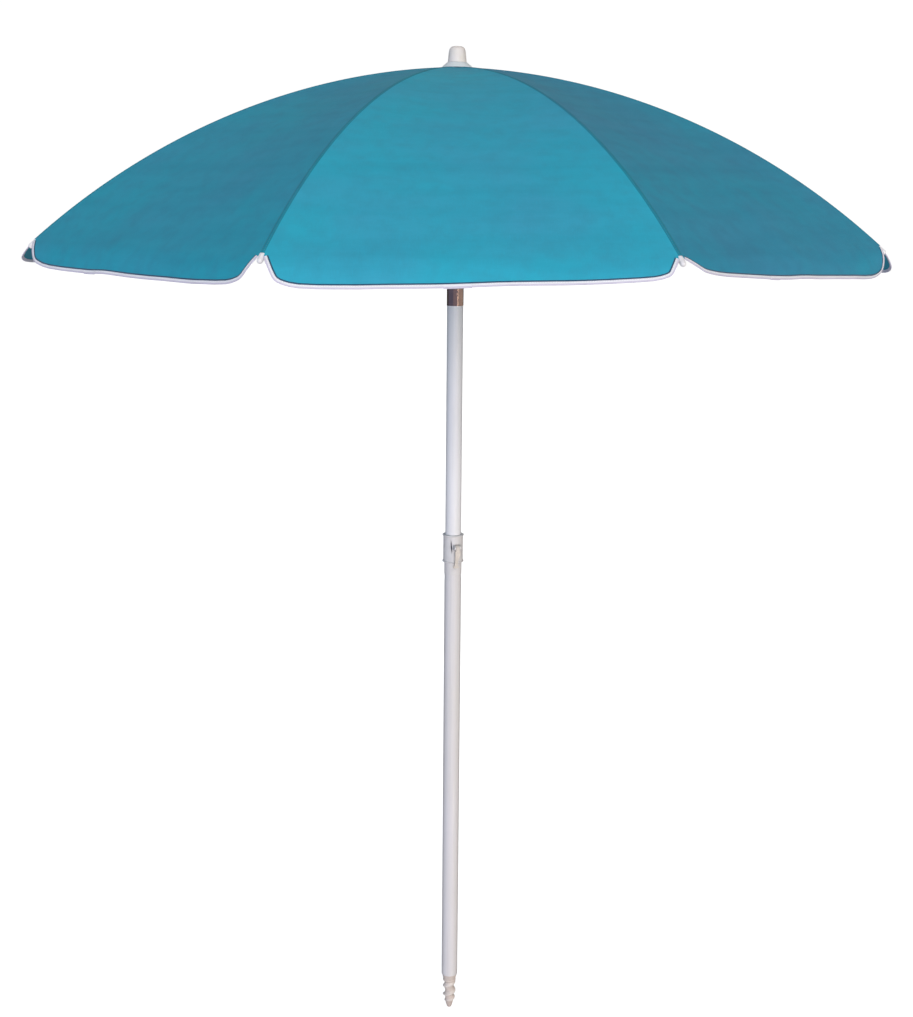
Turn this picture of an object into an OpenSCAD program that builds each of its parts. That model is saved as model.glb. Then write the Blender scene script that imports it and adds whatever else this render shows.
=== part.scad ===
// Beach umbrella with an octagonal canopy, a two-part telescoping pole, a lever clamp,
// a push-button tilt joint and an auger spike. Millimetres, +Z up, origin at the spike's tip.
// The front is -Y, where the clamp lever hangs.

/* [Pole] */
// Outside diameter of the lower tube
lower_od = 32; // [28:0.5:38]
// Wall of the lower tube
lower_wall = 0.8; // [0.7:0.1:1.2]
// Outside diameter of the upper tube and the mast
upper_od = 30; // [29:0.1:30]
// Wall of the upper tube and the mast
upper_wall = 0.8; // [0.6:0.1:1.2]
// Height of the lower tube's bottom rim above the spike's tip
lower_z = 77; // [60:1:90]
// Height where the lower tube necks in under its collar
neck_z = 911; // [820:1:915]
// Height of the clamp collar's bottom rim
collar_z = 946; // [850:1:1000]
// Height of the clamp collar
collar_h = 54; // [50:1:70]
// Length of the upper tube inside the lower tube, below the collar
insertion = 220; // [160:5:400]

/* [Spike] */
// Rise of the auger's thread in its first turn above the tip
spike_pitch = 13.9; // [10:0.1:16]
// Growth of that rise from each turn to the next
spike_growth = 5; // [0:0.5:6]
// Turns of the auger's thread
spike_turns = 2.8; // [2:0.1:3]
// Diameter over the thread's crests
spike_d = 26.4; // [24:0.2:30]

/* [Clamp] */
// Turn of the clamp's lever from the front towards the right
clamp_turn = 16; // [0:1:30]
// Turn of the collar's slit from its lever
slit_turn = 27; // [26:1:40]

/* [Tilt joint] */
// Height of the dark sleeve's bottom rim
casing_z = 1433; // [1400:1:1460]
// Height of the tilt pin
tilt_z = 1556; // [1550:1:1570]
// Diameter of the tilt pin
tilt_pin_d = 5; // [4:0.5:6]

/* [Canopy] */
// Number of ribs
ribs = 8; // [8:1:8]
// Distance of a rib's end from the pole's axis
tip_r = 752; // [700:1:800]
// Distance of the cloth's corner from the pole's axis
corner_r = 752; // [700:1:800]
// Height of a rib's tip
tip_z = 1548; // [1530:1:1570]
// Height of the ribs' pivots at the crown
crown_z = 1843; // [1830:1:1850]
// Radius to which a rib bows
rib_bow = 1200; // [1100:10:1600]
// Height of the cloth at the pole's axis
cloth_z = 1855; // [1850:0.5:1860]
// Radius to which the cloth bows along a rib
cloth_bow = 1235; // [1100:5:1600]
// Thickness of the cloth panels
cloth_t = 0.8; // [0.6:0.1:2]
// Depth of the hem flap below the ribs' tips
hem_drop = 42; // [30:1:45]
// How far the hem flap stands out past the ribs' tips
hem_out = 26; // [20:1:45]
// Width of the notch in the hem on each side of a rib's tip
notch_w = 44; // [35:1:50]

/* [Ribs and struts] */
// Diameter of a rib
rib_d = 4; // [3.5:0.5:5]
// Diameter of a strut
strut_d = 4; // [3.5:0.5:5]
// Distance of a rib's strut joint from the pole's axis
joint_r = 335; // [300:5:380]
// Drop of the strut joint below its rib
joint_drop = 9; // [8:0.5:12]
// Distance of the crown's pivots from the pole's axis
crown_r = 26; // [25:0.5:28]
// Distance of the runner's pivots from the pole's axis
runner_r = 28; // [27:0.5:30]
// Height of the runner's pivots when the canopy is open
runner_z = 1640; // [1625:1:1650]
// Diameter of the small pivot pins
pin_d = 3; // [2.5:0.1:3.5]

/* [Hidden] */

run_gap = 0.05;   // radial clearance of a pin or shaft that turns or slides
seat_gap = 0.02;  // radial clearance of two pieces that are pressed together
lower_id = lower_od - 2 * lower_wall;
neck_od = lower_od - 0.6;
upper_id = upper_od - 2 * upper_wall;
collar_top = collar_z + collar_h;
upper_bottom = collar_z - insertion;
rib_step = 360 / ribs;

// ---- colours
white_paint = [0.93, 0.92, 0.9];
white_plastic = [0.95, 0.94, 0.92];
dark_metal = [0.36, 0.29, 0.27];
steel = [0.72, 0.73, 0.75];
cloth_blue = [0.2, 0.58, 0.68];

module tube(d_out, d_in, z0, z1) {
    translate([0, 0, z0])
        difference() {
            cylinder(h = z1 - z0, d = d_out, $fn = 96);
            translate([0, 0, -1]) cylinder(h = z1 - z0 + 2, d = d_in, $fn = 96);
        }
}

module rod(d, z0, z1) {
    translate([0, 0, z0]) cylinder(h = z1 - z0, d = d, $fn = 96);
}

// A cylinder along Y from y0 to y1
module rod_y(d, y0, y1, x = 0, z = 0) {
    translate([x, y1, z]) rotate([90, 0, 0]) cylinder(h = y1 - y0, d = d, $fn = 48);
}

// A cylinder along X from x0 to x1
module rod_x(d, x0, x1, y = 0, z = 0) {
    translate([x0, y, z]) rotate([0, 90, 0]) cylinder(h = x1 - x0, d = d, $fn = 48);
}

module block(x0, x1, y0, y1, z0, z1) {
    translate([x0, y0, z0]) cube([x1 - x0, y1 - y0, z1 - z0]);
}

// Turns its children from the +X half-plane to rib k's place
module at_rib(k) {
    rotate([0, 0, rib_step * (k - 0.5)]) children();
}

// ---- spike
spike_plug_h = 30;
thread_steps = 20;   // straight pieces in one turn of the thread
thread_low = -0.35;  // where the thread starts, in turns from where it first faces left
thread_rings = round(spike_turns * thread_steps);

// Height and radius of the spike's bare core, from its tip to the ring under its shoulder
spike_core = [[0, 0], [0.5, 2.6], [1.4, 3.8], [3.5, 5.1], [8, 6.6], [13, 7.6], [20, 8.2],
    [40, 8.8], [53, 9.5], [58, 9.9], [60, 11.6], [61.5, 12.8], [63, 13.1], [64.4, 12.8],
    [65.4, 12.5], [lower_z - 1.6, 14.8], [lower_z - 1, neck_od / 2], [lower_z, neck_od / 2]];

// The auger's thread: one helical ridge whose turns close up and narrow towards the tip
function thread_turn(i) = thread_low + i / thread_steps;
function thread_z(t) = 15.8 + (spike_pitch - spike_growth / 2) * t + spike_growth / 2 * t * t;
function thread_out(t) = spike_d / 2 - 5 * pow(max(0, (1.1 - t) / (1.1 - thread_low)), 1.5);
function thread_in(t) = lookup(thread_z(t), spike_core) - 1;
function thread_ring(t) =
    let (a = 180 + 360 * t, r = thread_out(t), b = thread_in(t), m = b + 0.68 * (r - b), z = thread_z(t))
    [for (p = [[b, -4], [m, -2], [r, -0.5], [r, 0.5], [m, 2], [b, 4]])
        [p[0] * cos(a), p[0] * sin(a), z + p[1]]];

module spike_thread() {
    n = thread_rings;
    w = 6;   // points in one ring
    points = [for (i = [0:n]) each thread_ring(thread_turn(i))];
    sides = [for (i = [0:n - 1], j = [0:w - 1])
        [w * i + j, w * i + (j + 1) % w, w * (i + 1) + (j + 1) % w, w * (i + 1) + j]];
    ends = [[for (j = [w - 1:-1:0]) j], [for (j = [0:w - 1]) w * n + j]];
    polyhedron(points, concat([ends[0]], sides, [ends[1]]), convexity = 8);
}

module ground_spike() color(white_plastic) {
    rotate_extrude($fn = 72)
        polygon(concat([for (p = spike_core) [p[1], p[0]]],
            [[lower_id / 2 - seat_gap, lower_z],
            [lower_id / 2 - seat_gap, lower_z + spike_plug_h], [0, lower_z + spike_plug_h]]));
    spike_thread();
}

// ---- lower pole and its clamp
clamp_z = collar_z + 32;     // height of the lever's pin
collar_od = 37.4;
flange_od = 40.8;
flange_h = 3;
skirt_od = 33;
skirt_h = 24;
pad_d = 9;
lever_w = 7;                 // width of the lever's hub
lever_l = 37.5;              // length of the lever below its pin
lever_lean = 4;              // how far the lever's foot stands to the left of its hub
cam_d = 11.4;
cam_shift = 0.3;             // how far the cam's centre stands off its pin
cam_y = -25.5;               // the lever pin's distance in front of the pole's axis
ear_t = 2.6;

// Turns its children from the front to the side where the lever sits
module at_clamp() {
    rotate([0, 0, clamp_turn]) children();
}

module lower_tube() color(white_paint)
    difference() {
        union() {
            rod(lower_od, lower_z, neck_z);
            rod(neck_od, lower_z, collar_top - 10);
        }
        rod(lower_id, lower_z - 1, collar_top);
        at_clamp() rod_y(pad_d + 1, -lower_od, 0, z = clamp_z);
    }

// Bead that runs round the collar at height z
module collar_bead(z)
    translate([0, 0, z])
        rotate_extrude($fn = 96)
            translate([flange_od / 2 - flange_h / 2, 0]) circle(d = flange_h, $fn = 32);

module clamp_collar() color(white_plastic)
    difference() {
        union() {
            rod(skirt_od, collar_z - skirt_h, collar_z);
            rod(collar_od, collar_z, collar_top);
            collar_bead(collar_z + flange_h / 2);
            collar_bead(collar_top - flange_h / 2);
            at_clamp() for (side = [-1, 1]) {
                rod_x(9, side * (lever_w / 2 + 0.3) - (side < 0 ? ear_t : 0),
                    side * (lever_w / 2 + 0.3) + (side > 0 ? ear_t : 0), cam_y, clamp_z);
                translate([side * (lever_w / 2 + 0.3 + ear_t / 2), -21, clamp_z])
                    cube([ear_t, 10, 9], center = true);
            }
        }
        // two shallow grooves round the skirt
        for (h = [13.5, 19])
            tube(skirt_od + 2, skirt_od - 0.6, collar_z - h - 1, collar_z - h);
        rod(neck_od + 2 * seat_gap, collar_z - skirt_h - 1, collar_top - 10 + seat_gap);
        rod(upper_od + 2 * run_gap, collar_z, collar_top + 1);
        at_clamp() {
            rod_y(pad_d + 2 * run_gap, -22, 0, z = clamp_z);
            rod_x(pin_d + 2 * seat_gap, -10, 10, cam_y, clamp_z);
        }
        // leaf-shaped slit that lets the collar's lip close on the upper tube
        rotate([0, 0, clamp_turn - slit_turn]) translate([0, -12, clamp_z]) rotate([90, 0, 0])
            linear_extrude(12)
                polygon([[-1.5, 14], [-0.9, 14], [0.6, 5], [1.6, -3], [1.4, -10], [0.9, -14],
                    [0, -9], [-1.6, -2], [-1.9, 5]]);
    }

module clamp_pad() color(steel)
    at_clamp() difference() {
        rod_y(pad_d, cam_y + (cam_d / 2 + cam_shift + 0.1), -14, z = clamp_z);
        rod(upper_od + 0.2, clamp_z - 10, clamp_z + 10);
    }

module clamp_pin() color(steel)
    at_clamp() rod_x(pin_d, -lever_w / 2 - ear_t - 0.3, lever_w / 2 + ear_t + 0.3, cam_y, clamp_z);

// Outline of the lever seen from its side: y forwards from the pin, z up
module lever_side()
    polygon([[-0.5, 0], [-2, -9], [-1.6, -lever_l + 11], [-3, -lever_l + 5], [-5.4, -lever_l],
        [-8.2, -lever_l], [-6.6, -lever_l + 7], [-5.2, -lever_l + 13], [-5.8, -8], [-5.4, 0]]);

// Outline of the lever's arm seen from the front: broad under its hub, narrow above its flared foot
module lever_front() {
    low = -lever_lean;
    polygon([[-lever_w / 2, 0], [-lever_w / 2, -5.4], [-5.6, -7.4], [-5.2, -14],
        [low - 1.2, -lever_l + 12], [low - 2.6, -lever_l + 6], [low - 5.2, -lever_l + 2.4],
        [low - 5, -lever_l], [low + 5, -lever_l], [low + 5.2, -lever_l + 2.4],
        [low + 3.2, -lever_l + 6], [low + 4.4, -lever_l + 12], [4.6, -14], [5.4, -7.4],
        [lever_w / 2, -5.4], [lever_w / 2, 0]]);
}

module clamp_lever() color(white_plastic)
    at_clamp() translate([0, cam_y, clamp_z])
        difference() {
            union() {
                rod_x(cam_d, -lever_w / 2, lever_w / 2, cam_shift, 0);
                intersection() {
                    translate([-12, 0, 0]) rotate([90, 0, 90]) linear_extrude(24) lever_side();
                    rotate([90, 0, 0]) linear_extrude(20) lever_front();
                }
            }
            rod_x(pin_d + 2 * run_gap, -20, 20);
        }

// ---- upper pole
bush_h = 26;
bush_spigot_h = 30;

module guide_bush() color(white_plastic)
    difference() {
        union() {
            rod(lower_id - 2 * run_gap, upper_bottom - bush_h - 0.3, upper_bottom - 0.3);
            rod(upper_id - 2 * run_gap, upper_bottom - 1, upper_bottom + bush_spigot_h);
        }
        rod(20, upper_bottom - bush_h - 2, upper_bottom + bush_spigot_h + 1);
    }

casing_od = 31.2;
casing_top = tilt_z - 11;
ear_r = 8.5;

module upper_tube() color(white_paint)
    difference() {
        tube(upper_od, upper_id, upper_bottom, tilt_z - 26);
        block(-16, -8, -3.4, 3.4, tilt_z - 32, tilt_z);
    }

module tilt_casing() color(dark_metal)
    difference() {
        union() {
            tube(casing_od, upper_od + 2 * seat_gap, casing_z, casing_top);
            // two ears that carry the tilt pin
            intersection() {
                tube(casing_od, upper_od - 1, casing_top - 14, tilt_z + ear_r);
                union() {
                    rod_x(2 * ear_r, -20, 20, z = tilt_z);
                    block(-20, 20, -ear_r, ear_r, casing_top - 14, tilt_z);
                }
            }
        }
        rod_x(tilt_pin_d + 2 * seat_gap, -20, 20, z = tilt_z);
        // hole of the snap button
        rod_x(button_d + 0.6, -20, -5, z = button_z);
    }

module tilt_pin() color(steel)
    rod_x(tilt_pin_d, -15.3, 15.3, z = tilt_z);

tongue_w = 7.5;
tongue_y = 9;
button_z = tilt_z - 10;
button_d = 5;
mast_bottom = tilt_z + 11;

module tilt_tongue() color(dark_metal)
    difference() {
        union() {
            rod(upper_id - 2 * seat_gap, mast_bottom - 1, mast_bottom + 14);
            rod_x(9, -13.4, 13.4, z = tilt_z);
            rod(upper_od, mast_bottom - 1.5, mast_bottom);
            intersection() {
                block(-tongue_w, tongue_w, -tongue_y / 2, tongue_y / 2, tilt_z - 14, mast_bottom + 2);
                rod(27, tilt_z - 20, mast_bottom + 5);
            }
        }
        rod_x(tilt_pin_d + 2 * run_gap, -20, 20, z = tilt_z);
        rod_x(rivet_d + 2 * seat_gap, -20, 20, z = mast_bottom + 7);
        // seat of the snap button's spring
        block(-20, -tongue_w + 3.8, -3.2, 3.2, tilt_z - 20, button_z + 4);
    }

// A stud on a bent leaf spring, pushed in to let the mast tilt
module tilt_button() color(steel) {
    rod_x(button_d, -18, -8, z = button_z);
    block(-9, -8, -2.8, 2.8, button_z - 3.4, button_z + 3);
}

module mast_tube() color(white_paint)
    difference() {
        tube(upper_od, upper_id, mast_bottom, crown_z - 7);
        // slot of the runner's catch
        block(-3, 3, -20, 0, catch_z - 14, catch_z + 12);
        rod_x(rivet_d + 2 * seat_gap, -20, 20, z = mast_bottom + 7);
        rod_x(rivet_d + 2 * seat_gap, -20, 20, z = crown_z - 20);
        rod_y(pin_d + 2 * seat_gap, -20, 0, z = catch_z + 25);
    }

// ---- crown and finial
rivet_d = 4;
crown_top = crown_z + 5;
crown_bottom = crown_z - 26;
stud_d = 8;

module mast_rivets() color(steel) {
    // the lower rivet holds the tongue, the upper pair the crown's socket
    rod_x(rivet_d, -15.2, 15.2, z = mast_bottom + 7);
    rod_x(rivet_d, 12, 19.4, z = crown_z - 20);
    rod_x(rivet_d, -19.4, -12, z = crown_z - 20);
}

module crown() color(white_plastic)
    difference() {
        union() {
            rod(39, crown_bottom, crown_z);
            rod(66, crown_z - 6, crown_top);
        }
        rod(upper_od + 2 * seat_gap, crown_bottom - 1, crown_z - 7 + seat_gap);
        rod(stud_d + 2 * seat_gap, crown_bottom, crown_top + 1);
        rod_x(rivet_d + 2 * seat_gap, -25, 25, z = crown_z - 20);
        for (k = [1:ribs]) at_rib(k) {
            block(20.5, 40, -2.3, 2.3, crown_z - 30, crown_top + 1);
            rod_y(pin_d + 2 * seat_gap, -7.6, 7.6, x = crown_r, z = crown_z);
        }
    }

module crown_pins() color(steel)
    for (k = [1:ribs]) at_rib(k)
        rod_y(pin_d, -7.4, 7.4, x = crown_r, z = crown_z);

finial_base_z = cloth_z + 0.4;

module finial_stud() color(steel) {
    rod(stud_d, crown_z - 12, finial_base_z + 26);
    rod(18, crown_z - 13, crown_z - 7);
}

module finial_base() color(white_plastic)
    difference() {
        translate([0, 0, finial_base_z])
            rotate_extrude($fn = 96)
                polygon([[0, 0], [26.5, 0], [26.4, 1.2], [25, 2.6], [19, 7.2], [17.5, 8], [0, 8]]);
        rod(stud_d + 2 * seat_gap, finial_base_z - 1, finial_base_z + 10);
    }

module finial_cap() color(white_plastic)
    difference() {
        translate([0, 0, finial_base_z + 8.05])
            rotate_extrude($fn = 96)
                polygon(concat([[0, 0], [16.4, 0], [16.7, 2]],
                    [for (a = [0:15:90]) [7.6 + 7.6 * cos(a), 19 + 8.1 * sin(a)]], [[0, 27.5]]));
        rod(stud_d + 2 * seat_gap, finial_base_z, finial_base_z + 27);
    }

// ---- runner
runner_bore = 32.4;
runner_bottom = runner_z - 44;
catch_z = runner_bottom - 1;

module runner() color(white_plastic)
    difference() {
        union() {
            rod(40, runner_bottom, runner_z + 12);
            rod(46, runner_bottom, runner_bottom + 4);
            rod(70, runner_z - 6, runner_z + 5);
        }
        rod(runner_bore, runner_bottom - 1, runner_z + 20);
        for (k = [1:ribs]) at_rib(k) {
            block(22.5, 40, -2.3, 2.3, runner_z - 20, runner_z + 20);
            rod_y(pin_d + 2 * seat_gap, -7.9, 7.9, x = runner_r, z = runner_z);
        }
    }

module runner_pins() color(steel)
    for (k = [1:ribs]) at_rib(k)
        rod_y(pin_d, -7.7, 7.7, x = runner_r, z = runner_z);

// A leaf spring whose nose stands out of the mast under the runner
module runner_catch() color(steel)
    difference() {
        translate([2.5, 0, 0]) rotate([0, -90, 0])
            linear_extrude(5)
                polygon([[catch_z - 12, -12.2], [catch_z - 11, -13.4], [catch_z - 8, -15],
                    [catch_z - 0.4, -19], [catch_z - 0.4, -13.4], [catch_z + 10, -13.4],
                    [catch_z + 30, -13.4], [catch_z + 30, -12.2]]);
        rod_y(pin_d + 2 * run_gap, -25, 0, z = catch_z + 25);
    }

module catch_rivet() color(steel) {
    rod_y(pin_d, -15.1, -11.2, z = catch_z + 25);
}

// ---- ribs: each is an arc from its crown pivot to its tip
chord = norm([tip_r - crown_r, crown_z - tip_z]);
half_turn = asin(chord / 2 / rib_bow);
start_slope = atan2(crown_z - tip_z, tip_r - crown_r) - half_turn;
arc_x = crown_r - rib_bow * sin(start_slope);
arc_z = crown_z - rib_bow * cos(start_slope);
end_slope = start_slope + 2 * half_turn;
joint_slope = asin((joint_r - arc_x) / rib_bow);
joint_x = arc_x + (rib_bow - joint_drop) * sin(joint_slope);
joint_z = arc_z + (rib_bow - joint_drop) * cos(joint_slope);

// A piece of the rib's arc between two slopes, in the +X half-plane
module rib_arc(d, slope0, slope1)
    translate([arc_x, 0, arc_z]) rotate([90, 0, 0]) rotate([0, 0, 90 - slope1])
        rotate_extrude(angle = slope1 - slope0, $fn = 180)
            translate([rib_bow, 0]) circle(d = d, $fn = 32);

module rib(k) at_rib(k) color(steel) {
    difference() {
        union() {
            rib_arc(rib_d, start_slope, end_slope);
            rod_y(8, -1.8, 1.8, x = crown_r, z = crown_z);
        }
        rod_y(pin_d + 2 * run_gap, -9, 9, x = crown_r, z = crown_z);
    }
    // saddle clamped round the rib, with two ears and the strut's rivet
    translate([arc_x, 0, arc_z]) rotate([0, joint_slope, 0]) {
        difference() {
            translate([-7, -4.2, rib_bow - joint_drop - 4]) cube([14, 8.4, joint_drop + 6.6]);
            translate([-8, -2.4, rib_bow - joint_drop - 5]) cube([16, 4.8, joint_drop + 2.9]);
            translate([0, 0, rib_bow]) rotate([0, 90, 0])
                cylinder(h = 20, d = rib_d + 0.16, center = true, $fn = 48);
            rod_y(pin_d + 2 * seat_gap, -9, 9, z = rib_bow - joint_drop);
        }
        rod_y(pin_d, -5.2, 5.2, z = rib_bow - joint_drop);
    }
}

tip_cap_d = 8.4;
tip_out = 4;   // how far the cap's round end stands out past the rib's end

module rib_tip(k) at_rib(k) color(white_plastic)
    translate([tip_r, 0, tip_z]) rotate([0, end_slope, 0])
        difference() {
            union() {
                rod_x(tip_cap_d, -15, tip_out - tip_cap_d / 2);
                translate([tip_out - tip_cap_d / 2, 0, 0]) sphere(d = tip_cap_d, $fn = 48);
            }
            rod_x(rib_d + 0.3, -17, 0.1);
        }

// ---- struts: each hangs on its rib and its lower end lies in the runner's slot at rest
strut_l = norm([joint_x - runner_r, joint_z - runner_z]);
strut_slope = atan2(joint_z - runner_z, joint_x - runner_r);

module strut(k) at_rib(k) color(steel)
    translate([runner_r, 0, runner_z]) rotate([0, -strut_slope, 0])
        difference() {
            union() {
                rod_x(strut_d, 3, strut_l - 3);
                rod_y(7.4, -1.8, 1.8);
                rod_y(7, -1.9, 1.9, x = strut_l);
            }
            rod_y(pin_d + 2 * run_gap, -9, 9);
            rod_y(pin_d + 2 * run_gap, -9, 9, x = strut_l);
        }

// ---- cloth: each panel covers its rib from the middle of one gore to the middle of the next
panel_rows = 12;
panel_gap = 0.5;
cloth_tip_z = tip_z + 7.8;
cloth_chord = norm([corner_r, cloth_z - cloth_tip_z]);
cloth_half = asin(cloth_chord / 2 / cloth_bow);
cloth_start = atan2(cloth_z - cloth_tip_z, corner_r) - cloth_half;
cloth_x = -cloth_bow * sin(cloth_start);
cloth_c = cloth_z - cloth_bow * cos(cloth_start);
cloth_first_r = 13;
first_slope = asin((cloth_first_r - cloth_x) / cloth_bow);
last_slope = asin((corner_r - cloth_x) / cloth_bow);

function row_slope(i) = first_slope + (last_slope - first_slope) * i / panel_rows;
// Distance from the axis and height of a row's outer face on the rib
function row_r(i, t) = cloth_x + (cloth_bow - t) * sin(row_slope(i));
function row_z(i, t) = cloth_c + (cloth_bow - t) * cos(row_slope(i));
// A point on the flat between two ribs: f is 0 at the rib and 1 in the middle of the gore
function gore_point(r, z, f, side) =
    let (mid = (1 + cos(rib_step)) / 2, out = sin(rib_step) / 2)
    [r * (1 - f * (1 - mid)), side * max(0, r * out * f - (f > 0.99 ? panel_gap / 2 : 0)), z];

// How far down the hem flap reaches at part f of the half gore: nothing beside the rib's tip,
// all of it past the notch
half_gore = corner_r * sin(rib_step / 2);
tip_gap = 5;   // half width of the notch's top, where the rib's tip cap shows
function hem_part(f) =
    sin(90 * pow(max(0, min(1, (f * half_gore - tip_gap) / (notch_w - tip_gap))), 0.65));
gore_parts = [0, tip_gap / half_gore, 9 / half_gore, 18 / half_gore, 30 / half_gore,
    notch_w / half_gore, 1];
columns = concat(
    [for (j = [len(gore_parts) - 1:-1:1]) [gore_parts[j], -1]],
    [for (f = gore_parts) [f, 1]]);
function row_points(i, t) =
    [for (c = columns) gore_point(row_r(i, t), row_z(i, t), c[0], c[1])];
function hem_points(t) =
    [for (c = columns) let (h = max(0.03, hem_part(c[0])))
        gore_point(row_r(panel_rows, t) + h * hem_out, row_z(panel_rows, t) - h * hem_drop, c[0], c[1])];

module canopy_panel(k) at_rib(k) color(cloth_blue) {
    rows = panel_rows + 2;
    cols = len(columns);
    outer = concat([for (i = [0:panel_rows]) each row_points(i, 0)], hem_points(0));
    inner = concat([for (i = [0:panel_rows]) each row_points(i, cloth_t)], hem_points(cloth_t));
    n = rows * cols;
    grid = [for (i = [0:rows - 2], j = [0:cols - 2]) [i * cols + j, i * cols + j + 1,
        (i + 1) * cols + j + 1, (i + 1) * cols + j]];
    top_faces = [for (q = grid) each [[q[0], q[1], q[2]], [q[0], q[2], q[3]]]];
    low_faces = [for (f = top_faces) [f[2] + n, f[1] + n, f[0] + n]];
    rim = concat([for (j = [0:cols - 1]) j], [for (i = [1:rows - 1]) i * cols + cols - 1],
        [for (j = [cols - 2:-1:0]) (rows - 1) * cols + j], [for (i = [rows - 2:-1:1]) i * cols]);
    m = len(rim);
    edge = [for (i = [0:m - 1]) let (a = rim[i], b = rim[(i + 1) % m])
        each [[b, a, a + n], [b, a + n, b + n]]];
    polyhedron(concat(outer, inner), concat(top_faces, low_faces, edge), convexity = 6);
}

ground_spike();
lower_tube();
clamp_collar();
clamp_pad();
clamp_pin();
clamp_lever();
guide_bush();
upper_tube();
tilt_casing();
tilt_pin();
tilt_tongue();
tilt_button();
mast_tube();
mast_rivets();
crown();
crown_pins();
finial_stud();
finial_base();
finial_cap();
runner();
runner_pins();
runner_catch();
catch_rivet();
for (k = [1:ribs]) {
    rib(k);
    strut(k);
    rib_tip(k);
    canopy_panel(k);
}
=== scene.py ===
"""Beach umbrella: the cloth, its trim and every finish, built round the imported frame.

Everything is in metres in the frame's own axes: the spike's tip is the origin, +Z is up and the
front is -Y. Rib k stands at azimuth STEP * (k - 0.5), and gore g is centred on azimuth STEP * g.
"""

import math

import bpy
import numpy as np
from mathutils import Matrix, Vector

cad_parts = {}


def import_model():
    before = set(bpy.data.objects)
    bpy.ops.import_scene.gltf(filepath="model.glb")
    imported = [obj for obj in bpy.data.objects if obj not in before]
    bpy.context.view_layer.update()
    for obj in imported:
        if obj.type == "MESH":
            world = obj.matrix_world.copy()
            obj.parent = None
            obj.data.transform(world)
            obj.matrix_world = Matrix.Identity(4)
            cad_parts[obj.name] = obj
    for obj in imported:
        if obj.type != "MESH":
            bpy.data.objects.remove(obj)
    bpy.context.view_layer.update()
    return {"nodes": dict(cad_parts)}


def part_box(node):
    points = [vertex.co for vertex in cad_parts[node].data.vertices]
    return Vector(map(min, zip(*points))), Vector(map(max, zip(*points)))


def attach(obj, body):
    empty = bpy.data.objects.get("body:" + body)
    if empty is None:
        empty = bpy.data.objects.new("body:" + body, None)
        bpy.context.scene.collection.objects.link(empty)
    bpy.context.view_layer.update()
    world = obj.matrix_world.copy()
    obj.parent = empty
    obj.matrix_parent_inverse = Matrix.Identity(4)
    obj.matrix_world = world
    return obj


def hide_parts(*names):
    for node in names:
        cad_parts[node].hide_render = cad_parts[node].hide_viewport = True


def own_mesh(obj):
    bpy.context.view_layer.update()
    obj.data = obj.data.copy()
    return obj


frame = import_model()
nodes = frame["nodes"]

MM = 0.001
RIBS = 8
STEP = math.tau / RIBS
HALF = STEP / 2
Z = np.array([0, 0, 1.0])


# ------------------------------------------------------------------ camera and light
# fitted to the photo, in millimetres for the lens and else in metres and radians
LENS, SENSOR_HEIGHT = 51.84283, 36
CAM_DISTANCE, CAM_HEIGHT, CAM_SIDE = 2.7193, 1.6531, 0.0024
CAM_PITCH, CAM_ROLL, CAM_YAW = 0.2185, 0.0091, 0.0013
CAM_ORBIT = -0.0342  # the umbrella stands turned by this much to the camera


def make_camera():
    data = bpy.data.cameras.new("camera")
    data.sensor_fit = "VERTICAL"
    data.sensor_height, data.lens = SENSOR_HEIGHT, LENS
    data.clip_start, data.clip_end = 0.05, 100
    cp, sp = math.cos(CAM_PITCH), math.sin(CAM_PITCH)
    cy, sy = math.cos(CAM_YAW), math.sin(CAM_YAW)
    forward = Vector((sy * cp, cy * cp, -sp))
    side = Vector((cy, -sy, 0))
    top = side.cross(forward)
    right = side * math.cos(CAM_ROLL) + top * math.sin(CAM_ROLL)
    up = top * math.cos(CAM_ROLL) - side * math.sin(CAM_ROLL)
    turn = Matrix((right, up, -forward)).transposed().to_4x4()
    place = Matrix.Translation((CAM_SIDE, -CAM_DISTANCE, CAM_HEIGHT)) @ turn
    camera = bpy.data.objects.new("camera", data)
    bpy.context.scene.collection.objects.link(camera)
    camera.matrix_world = Matrix.Rotation(CAM_ORBIT, 4, "Z") @ place
    bpy.context.scene.camera = camera


CARD_DISTANCE, CARD_HEIGHT, CARD_Z = 3.5, 4.4, 0.1


def lamp_from(name, kind, azimuth, elevation, distance=0.0):
    """A lamp that shines towards the pole from that azimuth (degrees, 270 is the front)."""
    data = bpy.data.lights.new(name, kind)
    lamp = bpy.data.objects.new(name, data)
    bpy.context.scene.collection.objects.link(lamp)
    a, e = math.radians(azimuth), math.radians(elevation)
    away = Vector((math.cos(a) * math.cos(e), math.sin(a) * math.cos(e), math.sin(e)))
    lamp.rotation_euler = away.to_track_quat("Z", "Y").to_euler()
    lamp.location = away * distance
    return lamp, data


def sun(name, azimuth, elevation, strength, softness, colour, glossy=False):
    lamp, data = lamp_from(name, "SUN", azimuth, elevation)
    data.energy, data.angle, data.color = strength, math.radians(softness), colour
    lamp.visible_glossy = glossy


def card(name, azimuth, width, radiance, colour):
    """A tall glowing card that only shows as a reflection in the shiny parts."""
    lamp, data = lamp_from(name, "AREA", azimuth, 0, CARD_DISTANCE)
    data.shape, data.size, data.size_y, data.color = "RECTANGLE", width, CARD_HEIGHT, colour
    data.energy = radiance * math.pi * width * CARD_HEIGHT
    lamp.location.z = CARD_Z
    lamp.visible_diffuse = lamp.visible_camera = False


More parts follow.
